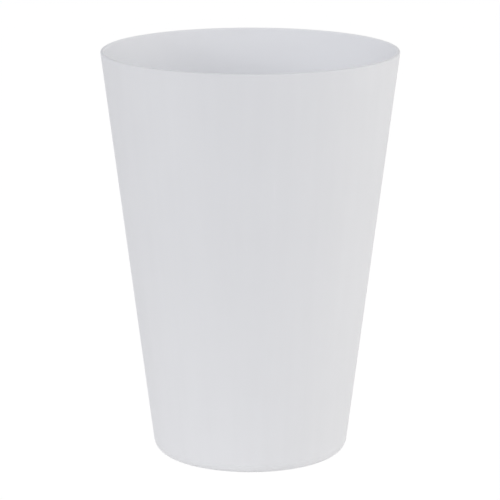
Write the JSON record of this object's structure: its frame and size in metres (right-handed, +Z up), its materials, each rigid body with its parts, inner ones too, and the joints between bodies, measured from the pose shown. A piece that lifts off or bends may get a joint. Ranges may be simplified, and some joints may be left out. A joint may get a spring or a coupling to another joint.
{
  "type": "reusable event cup",
  "caption": "Tall tapered drinking cup moulded in one piece, open at the top, with a thin rounded lip, a rounded heel, a raised floor and small stacking ribs inside.",
  "frame": {"origin": "centre of the foot, on the surface that the cup stands on", "axes": "+Z up along the cup's axis, from the foot to the lip; +X and +Y are level, and the cup is round"},
  "size_m": [0.076, 0.076, 0.105],
  "materials": {
    "polypropylene": "satin, as moulded"
  },
  "bodies": {
    "root": {"cup": "polypropylene"}
  },
  "joints": []
}
